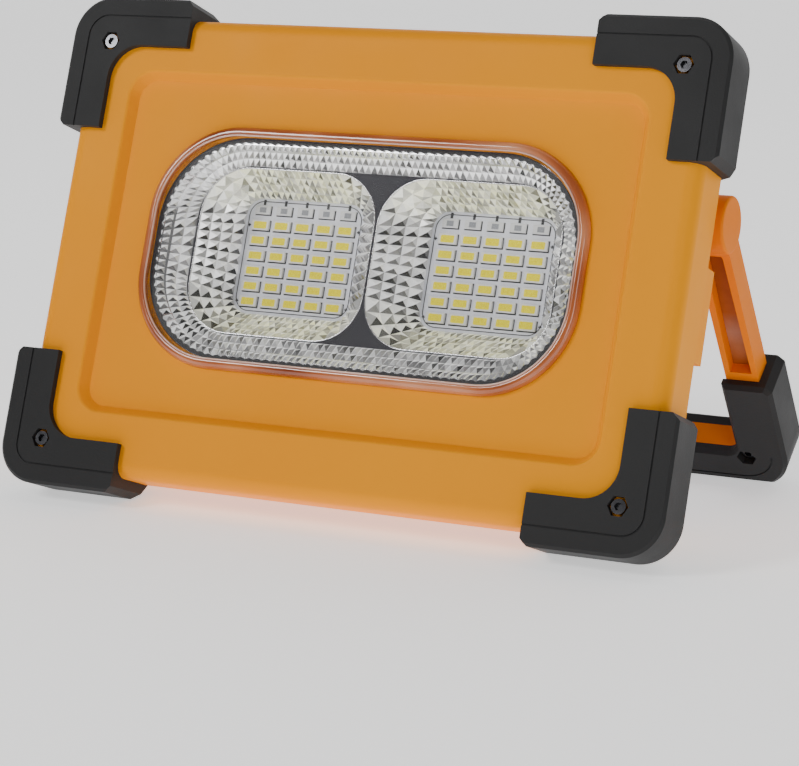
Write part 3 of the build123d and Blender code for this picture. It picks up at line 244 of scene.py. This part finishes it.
def solar_silicon():
    """Blue-violet silicon with crystal grains and fine collecting lines across each cell."""
    mat = new_material("solar_silicon", (0.03, 0.025, 0.15), 0.35, Specular_IOR_Level=0.15, Coat_Weight=0.05)
    grains = node(mat, "ShaderNodeTexVoronoi")
    grains.inputs["Scale"].default_value = 320.0
    link(mat, coords(mat), grains.inputs["Vector"])
    tint = ramp(mat, grains.outputs["Color"], (0.2, (0.018, 0.014, 0.11)), (0.8, (0.036, 0.028, 0.19)))
    lines = node(mat, "ShaderNodeTexWave", bands_direction="Z")
    lines.inputs["Scale"].default_value = 210.0
    link(mat, coords(mat), lines.inputs["Vector"])
    mask = ramp(mat, lines.outputs["Fac"], (0.90, (0.0, 0.0, 0.0)), (0.97, (1.0, 1.0, 1.0)))
    mixed = node(mat, "ShaderNodeMix", data_type="RGBA")
    mixed.inputs["B"].default_value = (0.06, 0.05, 0.21, 1.0)
    link(mat, mask, mixed.inputs["Factor"])
    link(mat, tint, mixed.inputs["A"])
    link(mat, mixed.outputs["Result"], shader_of(mat).inputs["Base Color"])
    return mat


PHOSPHOR = phosphor()
FACETS = facet_metal("mirror_facets", 0.2)
LENS_CLEAR = clear_plastic("lens_clear", (0.93, 0.93, 0.95), 0.02, 0.06)
RESIN = clear_plastic("solar_resin", (0.3, 0.3, 0.5), 0.05, 0.12)
SILICON = solar_silicon()

LOOKS = {
    "orange_abs": ORANGE,
    "charcoal_abs": CHARCOAL,
    "clear_lens": LENS_CLEAR,
    "mirror_coat": MIRROR,
    "seal_rubber": RUBBER,
    "pcb_white": BOARD_WHITE,
    "pcb_green": BOARD_GREEN,
    "led_body": BODY_WHITE,
    "phosphor": PHOSPHOR,
    "chip": CHIP,
    "aluminium": ALUMINIUM,
    "zinc_steel": STEEL,
    "tin": STEEL,
    "black_plastic": BLACK,
    "light_pipe": LIGHT_PIPE,
    "solar_blue": SILICON,
    "solar_resin": RESIN,
    "cell_wrap": SLEEVE,
    "wire_red": WIRE,
    "magnet": MAGNET,
}
OWN_LOOKS = {
    "guard_screws": SCREW,
    "stand_screws": SCREW,
    "rear_housing": ORANGE_REAR,
    "stand_frame": ORANGE_STAND_SHADED,
    "resistors_left": CHIP_WHITE,
    "resistors_right": CHIP_WHITE,
    "port_cover": RUBBER,
}
slot_of = {part["node"]: part["material_slot"] for part in frame["record"]["subparts"]}
for name, obj in frame["nodes"].items():
    look = OWN_LOOKS.get(name) or LOOKS[slot_of[name]]
    if not obj.material_slots:
        obj.data.materials.append(look)
    for place in obj.material_slots:
        place.material = look


# ------------------------------------------------------------------ mesh helpers
def piece(name, bm, look, body, smooth=False):
    """Turns a bmesh into a piece of the object that rides on a body."""
    mesh = bpy.data.meshes.new(name)
    bm.to_mesh(mesh)
    bm.free()
    obj = bpy.data.objects.new(name, mesh)
    bpy.context.scene.collection.objects.link(obj)
    mesh.materials.append(look)
    mesh.shade_smooth() if smooth else mesh.shade_flat()
    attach(obj, body)
    return obj


def rounded_loop(centre, half, radius, w, side, arc, top):
    """Points round a rounded rectangle: side, arc and top give how many steps each stretch takes."""
    cu, cv = centre
    su, sv = half[0] - radius, half[1] - radius
    points = []
    corners = ((1, 1), (-1, 1), (-1, -1), (1, -1))
    for k, (a, b) in enumerate(corners):
        straight = side if k % 2 == 0 else top
        if k % 2 == 0:
            begin, end = (a * half[0], -b * sv), (a * half[0], b * sv)
        else:
            begin, end = (-a * su, b * half[1]), (a * su, b * half[1])
        for i in range(straight):
            f = i / straight
            u = cu + begin[0] + (end[0] - begin[0]) * f
            v = cv + begin[1] + (end[1] - begin[1]) * f
            points.append((u, v, w))
        start = k * math.pi / 2
        for i in range(arc):
            angle = start + (math.pi / 2) * i / arc
            u = cu + a * su + radius * math.cos(angle)
            v = cv + b * sv + radius * math.sin(angle)
            points.append((u, v, w))
    return points


def between(p, q, f):
    return tuple(a + (b - a) * f for a, b in zip(p, q))


def facet_wall(name, outer, inner, rows, height, middle, seed, tone, spread, led_reflection_tint=0.0, lift=0.0):
    """A wall of little pyramids between two loops. height(direction) is how far they stand out. Each facet's
    tone is painted reflection: set by its tilt, a random share and a yellow tint of painted LED reflection.
    """
    rng = random.Random(seed)
    bm = bmesh.new()
    layer = bm.loops.layers.float_color.new("tone")
    count = len(outer)
    for j in range(rows):
        for i in range(count):
            n = (i + 1) % count
            quad = [
                Vector(between(outer[i], inner[i], j / rows)),
                Vector(between(outer[n], inner[n], j / rows)),
                Vector(between(outer[n], inner[n], (j + 1) / rows)),
                Vector(between(outer[i], inner[i], (j + 1) / rows)),
            ]
            mid = sum(quad, Vector()) / 4
            normal = (quad[2] - quad[0]).cross(quad[3] - quad[1]).normalized()
            inward = Vector((middle[0] - mid.x, middle[1] - mid.y, -8.0))
            if normal.dot(inward) < 0:
                normal = -normal
            quad = [corner + normal * lift for corner in quad]
            mid += normal * lift
            sideways = abs(normal.x) / (abs(normal.x) + abs(normal.y) + 1e-6)
            size = (quad[1] - quad[0]).length
            tip = mid + normal * height(sideways, size)
            for a in range(4):
                b = (a + 1) % 4
                corners = [quad[a], quad[b], tip]
                facing = (corners[1] - corners[0]).cross(corners[2] - corners[0]).normalized()
                if facing.dot(normal) < 0:
                    corners[0], corners[1] = corners[1], corners[0]
                    facing = -facing
                face = bm.faces.new([bm.verts.new(at(*c)) for c in corners])
                # each facet's tone is painted reflection: lighter or darker by which way it tilts, plus a
                # random share
                tilt = facing - normal * facing.dot(normal)
                glow = tone + spread * (1.3 * tilt.y - 1.1 * tilt.x) + rng.uniform(-0.45, 0.35) * spread
                glow = min(max(glow, 0.05), 1.0) ** 1.7
                # facets on the top and bottom walls get a random yellow tint: painted reflection of the LEDs
                blue = glow * (1.0 - led_reflection_tint * (1.0 - sideways) * rng.uniform(0.4, 1.0))
                for corner in face.loops:
                    corner[layer] = (glow, glow, blue, 1.0)
    return piece(name, bm, FACETS, "lamp")


def plate(name, outline, w_front, w_back, look, holes=()):
    """A flat plate with holes, with walls on its front edges."""
    bm = bmesh.new()
    rims = []
    for loop in (outline, *holes):
        verts = [bm.verts.new(at(p[0], p[1], w_front)) for p in loop]
        edges = [bm.edges.new((verts[i], verts[(i + 1) % len(verts)])) for i in range(len(verts))]
        rims.append((verts, edges, loop))
    bmesh.ops.triangle_fill(bm, use_beauty=True, edges=[e for r in rims for e in r[1]])
    for verts, _, loop in rims:
        low = [bm.verts.new(at(p[0], p[1], w_back)) for p in loop]
        for i in range(len(verts)):
            n = (i + 1) % len(verts)
            bm.faces.new((verts[i], verts[n], low[n], low[i]))
    bmesh.ops.recalc_face_normals(bm, faces=bm.faces)
    return piece(name, bm, look, "lamp")


def ring(name, loops, look, smooth=True):
    """A closed band through a list of loops that all have the same number of points."""
    bm = bmesh.new()
    rows = [[bm.verts.new(at(*p)) for p in loop] for loop in loops]
    count = len(rows[0])
    for near, far in zip(rows, rows[1:] + rows[:1]):
        for i in range(count):
            n = (i + 1) % count
            bm.faces.new((near[i], near[n], far[n], far[i]))
    bmesh.ops.recalc_face_normals(bm, faces=bm.faces)
    return piece(name, bm, look, "lamp", smooth)


def boxes(name, items, look, soften=0.0):
    """Small raised pads given as (u, v, half width, half height, w of the face, w of the base)."""
    bm = bmesh.new()
    for u, v, hu, hv, front, base in items:
        s = min(soften, hu * 0.45, hv * 0.45)
        corners = ((-1, -1), (1, -1), (1, 1), (-1, 1))
        low = [(u + a * hu, v + b * hv) for a, b in corners]
        top = [(u + a * (hu - s), v + b * (hv - s)) for a, b in corners]
        rows = [
            [bm.verts.new(at(x, y, base)) for x, y in low],
            [bm.verts.new(at(x, y, front + s)) for x, y in low],
            [bm.verts.new(at(x, y, front)) for x, y in top],
        ]
        for near, far in zip(rows, rows[1:]):
            for i in range(4):
                n = (i + 1) % 4
                bm.faces.new((near[i], near[n], far[n], far[i]))
        bm.faces.new(rows[2])
        bm.faces.new(list(reversed(rows[0])))
    bmesh.ops.recalc_face_normals(bm, faces=bm.faces)
    return piece(name, bm, look, "lamp")


# ------------------------------------------------------------------ reflector facets
LENS_MID = (0.0, 1.4)
SHELF_MID = (0.0, 2.5)
SHELF_W = 11.5
CUP_FLOOR_W = 25.9
BORDER_LIFT = 0.35
border_steps = dict(side=6, arc=17, top=42)
border_outer = rounded_loop(LENS_MID, (66.6, 32.3), 26.2, 3.95, **border_steps)
border_inner = rounded_loop(SHELF_MID, (59.2, 25.7), 16.5, SHELF_W, **border_steps)
facet_wall(
    "reflector_border_facets",
    border_outer,
    border_inner,
    3,
    lambda s, d: 0.42 * d,
    SHELF_MID,
    3,
    0.84,
    0.6,
    0.0,
    BORDER_LIFT,
)

cup_steps = dict(side=8, arc=5, top=15)
CUP_TOP_U = 29.35
CUP_FLOOR_U = 31.1
BOARD_V = 3.9
cup_tops = []
for side, label in ((-1, "left"), (1, "right")):
    cup_mid = (side * CUP_TOP_U, SHELF_MID[1])
    floor_mid = (side * CUP_FLOOR_U, BOARD_V)
    cup_top = rounded_loop(cup_mid, (28.75, 24.85), 14.4, SHELF_W, **cup_steps)
    cup_floor = rounded_loop(floor_mid, (19.8, 17.7), 5.2, CUP_FLOOR_W, **cup_steps)
    facet_wall(
        f"cup_facets_{label}",
        cup_top,
        cup_floor,
        4,
        lambda s, d: (0.16 + 0.30 * s * s) * d,
        floor_mid,
        11 + side,
        0.84,
        0.75,
        0.35,
    )
    cup_tops.append(rounded_loop(cup_mid, (28.9, 25.0), 14.5, 11.45, 10, 14, 16))

shelf_outline = rounded_loop(SHELF_MID, (59.3, 25.8), 16.6, 11.45, 12, 24, 40)
shelf_holes = [list(reversed(loop)) for loop in cup_tops]
plate("reflector_shelf", shelf_outline, 11.42, 11.6, SHELF, shelf_holes)

# thin rolled lips round the shelf and the cups
LIP_SIDES = 8
lip_mid = (CUP_TOP_U, SHELF_MID[1])
for name, centre, half, radius, w, thick, look, slot_name in (
    ("shelf_edge", SHELF_MID, (59.5, 26.0), 16.8, 11.3, 0.30, SHELF, "black_plastic"),
    ("cup_lip_left", (-lip_mid[0], lip_mid[1]), (28.85, 24.95), 14.45, 11.35, 0.22, MIRROR, "mirror_coat"),
    ("cup_lip_right", lip_mid, (28.85, 24.95), 14.45, 11.35, 0.22, MIRROR, "mirror_coat"),
):
    loops = []
    for k in range(LIP_SIDES):
        a = 2 * math.pi * k / LIP_SIDES
        grow = thick * math.cos(a)
        around = (half[0] + grow, half[1] + grow)
        loops.append(rounded_loop(centre, around, radius + grow, w + thick * math.sin(a), 12, 24, 40))
    ring(name, loops, look)

# ------------------------------------------------------------------ seal band with its scalloped inner edge
SCALLOPS = 128
SCALLOP_DEEP = 0.55
SEAL_FRONT, SEAL_BACK = 3.1, 3.9
band_steps = dict(side=16, arc=96, top=152)
seal_outer = rounded_loop(LENS_MID, (67.2, 33.1), 26.9, SEAL_FRONT, **band_steps)
seal_inner_base = rounded_loop(LENS_MID, (66.0, 31.9), 25.7, SEAL_FRONT, **band_steps)
spans = [0.0]
for p, q in zip(seal_inner_base, seal_inner_base[1:] + seal_inner_base[:1]):
    spans.append(spans[-1] + math.dist(p, q))
seal_inner = []
for i, p in enumerate(seal_inner_base):
    wave = SCALLOP_DEEP * abs(math.sin(math.pi * SCALLOPS * spans[i] / spans[-1]))
    q = seal_outer[i]
    away = math.dist(p, q)
    f = -wave / away + 0.25
    seal_inner.append(tuple(a + (b - a) * f for a, b in zip(p, q)))
band_loops = [
    seal_outer,
    seal_inner,
    [(u, v, SEAL_BACK) for u, v, _ in seal_inner],
    [(u, v, SEAL_BACK) for u, v, _ in seal_outer],
]
seal = ring("lens_seal_band", band_loops, BAND, smooth=False)
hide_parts("lens_seal")


# ------------------------------------------------------------------ lens rim, its see-through colour and highlights painted
def rim_material():
    """Clear rim that picks up the orange behind it: pale where thin, red-brown where it bends. Its colours
    are painted light: the orange seen through it, painted shade in red-brown and a pale painted highlight,
    spread by noise.
    """
    mat = new_material("lens_rim", (0.62, 0.22, 0.10), 0.12, Coat_Weight=0.8)
    # dark is painted shade where the rim bends, copper the orange seen through the rim, pale a painted
    # highlight
    dark, copper, pale = (0.22, 0.035, 0.006), (0.50, 0.13, 0.035), (0.78, 0.34, 0.17)
    tint = ramp(mat, noise(mat, 22.0, 2.0), (0.36, dark), (0.52, copper), (0.68, pale))
    link(mat, tint, shader_of(mat).inputs["Base Color"])
    bump(mat, noise(mat, 70.0, 2.0), 0.05, 0.0001)
    return mat


RIM = rim_material()
# the two thin rim lines: the orange seen through the clear rim, and a pale painted highlight
RIM_SEEN_ORANGE = plastic("rim_painted_seen_orange", (0.42, 0.11, 0.035), (0.60, 0.20, 0.09), 0.16, 400.0, 0.03)
RIM_HIGHLIGHT = plastic("rim_painted_highlight", (0.62, 0.30, 0.20), (0.86, 0.56, 0.44), 0.14, 400.0, 0.03, Coat_Weight=0.7)
RIM_HALF = (70.2, 36.1)
RIM_RADIUS = 27.5
rim_steps = dict(side=10, arc=40, top=60)
profile = []
for k in range(9):
    a = math.pi / 2 * k / 8
    profile.append((70.3 - 1.75 * (1 - math.cos(a)), 2.95 - 2.25 * math.sin(a)))
profile += [(68.1, 0.66), (67.75, 0.78), (67.6, 1.2), (67.6, 2.95)]
rim_loops = []
for half_u, w in profile:
    inset = RIM_HALF[0] - half_u
    around = (half_u, RIM_HALF[1] - inset)
    rim_loops.append(rounded_loop(LENS_MID, around, RIM_RADIUS - inset, w, **rim_steps))
ring("lens_rim", rim_loops, RIM)

# a pale painted highlight line near the inner edge, and a line of the orange seen through the rim at the
# outer edge
for name, inset, w, thick, look in (
    ("rim_inner_line", 2.75, 0.85, 0.28, RIM_HIGHLIGHT),
    ("rim_outer_line", 0.30, 2.55, 0.30, RIM_SEEN_ORANGE),
):
    loops = []
    for k in range(LIP_SIDES):
        a = 2 * math.pi * k / LIP_SIDES
        grow = thick * math.cos(a) - inset
        around = (RIM_HALF[0] + grow, RIM_HALF[1] + grow)
        loops.append(rounded_loop(LENS_MID, around, RIM_RADIUS + grow, w + thick * math.sin(a), **rim_steps))
    ring(name, loops, look)

# ------------------------------------------------------------------ LED boards: pads, painted shadows beside the LEDs, marks
LED_PITCH = (7.17, 4.68)
LED_MID_V = 1.59
BOARD_U = 31.07
BOARD_FACE = 26.0
LED_X = [(i - 2) * LED_PITCH[0] for i in range(5)]
LED_V = [LED_MID_V + (j - 2.5) * LED_PITCH[1] for j in range(6)]
ROW_V = LED_V[-1] + LED_PITCH[1]
for side, label in ((-1, "left"), (1, "right")):
    cu = side * BOARD_U
    # thin dark frames set off to the right and down from each LED: painted shadow
    led_shadow_frames = [(cu + x + 0.12, v - 0.12, 3.1, 1.75, 25.93, BOARD_FACE) for x in LED_X for v in LED_V]
    led_shadow_frames += [(cu + x + 0.12, ROW_V - 0.12, 2.75, 1.5, 25.93, BOARD_FACE) for x in LED_X]
    boxes(f"board_painted_shadows_{label}", led_shadow_frames, INK_AND_SHADOW)
    ends = []
    for x in LED_X:
        for v in LED_V:
            ends.append((cu + x - 2.8, v, 0.28, 1.1, 25.75, BOARD_FACE))
            ends.append((cu + x + 2.8, v, 0.28, 1.1, 25.75, BOARD_FACE))
    boxes(f"led_terminals_{label}", ends, STEEL, 0.05)
    rims = [(cu + x + 2.45, v, 0.32, 1.3, 25.07, 25.2) for x in LED_X for v in LED_V]
    boxes(f"led_cathode_bars_{label}", rims, BODY_WHITE, 0.05)
    boxes(
        f"resistor_marks_{label}",
        [(cu + x, ROW_V, 1.1, 0.8, 25.36, 25.4) for x in LED_X],
        MARK_GREY,
    )
    ticks = [(cu + x, ROW_V + 2.45, 0.42, 0.85, 25.93, BOARD_FACE) for x in LED_X]
    for v in (LED_V[0], LED_V[-1]):
        for s in (-1, 1):
            ticks.append((cu + s * 18.4, v, 0.5, 0.18, 25.93, BOARD_FACE))
            ticks.append((cu + s * 18.4, v, 0.18, 0.5, 25.92, BOARD_FACE))
    boxes(f"board_marks_{label}", ticks, INK_AND_SHADOW)
    edge = []
    for inset, w in ((0.0, 25.98), (0.0, 25.9), (0.25, 25.9), (0.25, 25.98)):
        edge.append(rounded_loop((cu, BOARD_V), (19.0 - inset, 16.9 - inset), 4.6 - inset, w, 8, 10, 8))
    ring(f"board_edge_line_{label}", edge, INK_AND_SHADOW, smooth=False)

# ------------------------------------------------------------------ painted shade on the floors of the arm channels
HINGE = Vector((0.0, -1.2447, 86.4225))
SWING = math.radians(34.7818)
DOWN_ARM = Vector((0.0, math.sin(SWING), -math.cos(SWING)))
ARM_FRONT = Vector((0.0, -math.cos(SWING), -math.sin(SWING)))


def channel_shade_material():
    """Painted shade: the channel's orange as it looks in deep shade, paler where the magnet behind the floor
    thins it.
    """
    mat = new_material("arm_channel", (0.42, 0.10, 0.015), 0.45, Specular_IOR_Level=0.1)
    tone = node(mat, "ShaderNodeAttribute", attribute_name="tone")
    mixed = node(mat, "ShaderNodeMix", data_type="RGBA", blend_type="MULTIPLY")
    mixed.inputs["Factor"].default_value = 0.3
    link(mat, tone.outputs["Color"], mixed.inputs["A"])
    link(mat, ramp(mat, noise(mat, 300.0, 3.0), (0.3, (0.6,) * 3), (0.7, (1.0,) * 3)), mixed.inputs["B"])
    link(mat, mixed.outputs["Result"], shader_of(mat).inputs["Base Color"])
    return mat


CHANNEL = channel_shade_material()
ARM_U = 95.35
CHANNEL_FACE = 0.72
# darker orange along the channel, paler in a middle stretch: painted shade of the deep channel
CHANNEL_SHADE_TONES = (
    (9.6, 2.1, (0.30, 0.075, 0.010)),
    (11.0, 2.65, (0.33, 0.080, 0.012)),
    (34.0, 2.95, (0.40, 0.105, 0.018)),
    (42.0, 3.0, (0.50, 0.24, 0.15)),
    (47.0, 3.05, (0.46, 0.17, 0.07)),
    (55.2, 3.2, (0.42, 0.11, 0.015)),
)
for side, label in ((-1, "left"), (1, "right")):
    bm = bmesh.new()
    layer = bm.loops.layers.float_color.new("tone")
    rows = []
    for s, half, tint in CHANNEL_SHADE_TONES:
        ends = []
        for x in (side * ARM_U - half, side * ARM_U + half):
            spot = (HINGE + DOWN_ARM * s + ARM_FRONT * CHANNEL_FACE + ACROSS * x) / 1000.0
            ends.append(bm.verts.new(spot))
        rows.append((ends, tint))
    for (near, near_tint), (far, far_tint) in zip(rows, rows[1:]):
        face = bm.faces.new((near[0], near[1], far[1], far[0]))
        for corner in face.loops:
            corner[layer] = (*(near_tint if corner.vert in near else far_tint), 1.0)
    bmesh.ops.recalc_face_normals(bm, faces=bm.faces)
    piece(f"arm_channel_painted_shade_{label}", bm, CHANNEL, "stand")

# ------------------------------------------------------------------ solar panel lines
BACK = (51.8, 41.0)
FOOT = (38.3, -63.9)
SLOPE = math.atan2(BACK[0] - FOOT[0], BACK[1] - FOOT[1])
MID_W, MID_V = (BACK[0] + FOOT[0]) / 2, (BACK[1] + FOOT[1]) / 2


def on_panel(x, y, depth):
    """A point of the sloping panel: x to the right seen from the front, y up, depth under its face."""
    w = MID_W + y * math.sin(SLOPE) - depth * math.cos(SLOPE)
    v = MID_V + y * math.cos(SLOPE) + depth * math.sin(SLOPE)
    return at(x, v, w)


def strips(name, items, depth, look):
    """Thin printed lines on the panel, given as (x0, x1, y0, y1)."""
    bm = bmesh.new()
    for x0, x1, y0, y1 in items:
        face = ((x0, y0), (x1, y0), (x1, y1), (x0, y1))
        bm.faces.new([bm.verts.new(on_panel(x, y, depth)) for x, y in face])
        bm.faces.new([bm.verts.new(on_panel(x, y, depth + 0.02)) for x, y in reversed(face)])
    return piece(name, bm, look, "lamp")


CELL_PITCH = (14.15, 48.6)
BAR_HALF = (0.35, 21.6)
bars = []
for i in range(11):
    x = (i - 5) * CELL_PITCH[0]
    for j in (-1, 1):
        y = j * CELL_PITCH[1] / 2
        bars.append((x - BAR_HALF[0], x + BAR_HALF[0], y - BAR_HALF[1], y + BAR_HALF[1]))
strips("solar_busbars", bars, 0.83, STEEL)

# ------------------------------------------------------------------ studio
world = bpy.data.worlds.new("studio")
bpy.context.scene.world = world
world.use_nodes = True
world.node_tree.nodes["Background"].inputs["Color"].default_value = (1.0, 1.0, 1.0, 1.0)
world.node_tree.nodes["Background"].inputs["Strength"].default_value = 0.14

floor_mesh = bpy.data.meshes.new("studio_floor")
reach = 9.0
sweep_y, sweep_round, wall_top = 2.2, 1.2, 6.0
section = [(-reach, 0.0), (sweep_y, 0.0)]
for k in range(1, 17):
    a = math.pi / 2 * k / 16
    section.append((sweep_y + sweep_round * math.sin(a), sweep_round * (1 - math.cos(a))))
section.append((sweep_y + sweep_round, wall_top))
sweep_points = [(x, y, z) for y, z in section for x in (-reach, reach)]
floor_mesh.from_pydata(
    sweep_points, [], [(2 * i, 2 * i + 1, 2 * i + 3, 2 * i + 2) for i in range(len(section) - 1)]
)
floor_mesh.shade_smooth()
floor = bpy.data.objects.new("studio_floor", floor_mesh)
bpy.context.scene.collection.objects.link(floor)
paper = new_material("studio_paper", (0.9, 0.9, 0.9), 0.8, Specular_IOR_Level=0.1)
shader_of(paper).inputs["Emission Color"].default_value = (1.0, 1.0, 1.0, 1.0)
shader_of(paper).inputs["Emission Strength"].default_value = 0.75
floor_mesh.materials.append(paper)


def area_light(name, place, target, size, power, color=(1.0, 1.0, 1.0)):
    data = bpy.data.lights.new(name, "AREA")
    data.shape = "RECTANGLE"
    data.size, data.size_y = size
    data.energy = power
    data.color = color
    lamp = bpy.data.objects.new(name, data)
    bpy.context.scene.collection.objects.link(lamp)
    lamp.location = place
    lamp.rotation_euler = (Vector(target) - Vector(place)).to_track_quat("-Z", "Y").to_euler()


middle = (0.0, 0.0, 0.07)
area_light("key", (-0.95, -1.2, 1.15), middle, (0.5, 0.5), 13.0)
area_light("fill", (1.0, -1.2, 0.5), middle, (0.3, 0.8), 3.5)
area_light("top", (0.0, 0.4, 1.3), middle, (1.0, 0.3), 2.0)

# ------------------------------------------------------------------ camera, placed in the slab's frame
EYE_AXES = (
    (0.8969205, 0.15719228, 0.41330885),
    (-0.09097938, 0.98028545, -0.17539435),
    (-0.43273129, 0.11971221, 0.89353937),
)
EYE_OFFSET = (-13.616, 34.782, 749.877)
right, up, look = (turn(*axis) for axis in EYE_AXES)
eye = CENTRE - (right * EYE_OFFSET[0] + up * EYE_OFFSET[1] + look * EYE_OFFSET[2])
camera_data = bpy.data.cameras.new("camera")
camera_data.lens = 118.97
camera_data.sensor_width = 36.0
camera_data.clip_start = 0.05
camera_data.clip_end = 60.0
camera = bpy.data.objects.new("camera", camera_data)
bpy.context.scene.collection.objects.link(camera)
turned = Matrix((right, up, -look)).transposed().to_4x4()
turned.translation = eye / 1000.0
camera.matrix_world = turned
bpy.context.scene.camera = camera
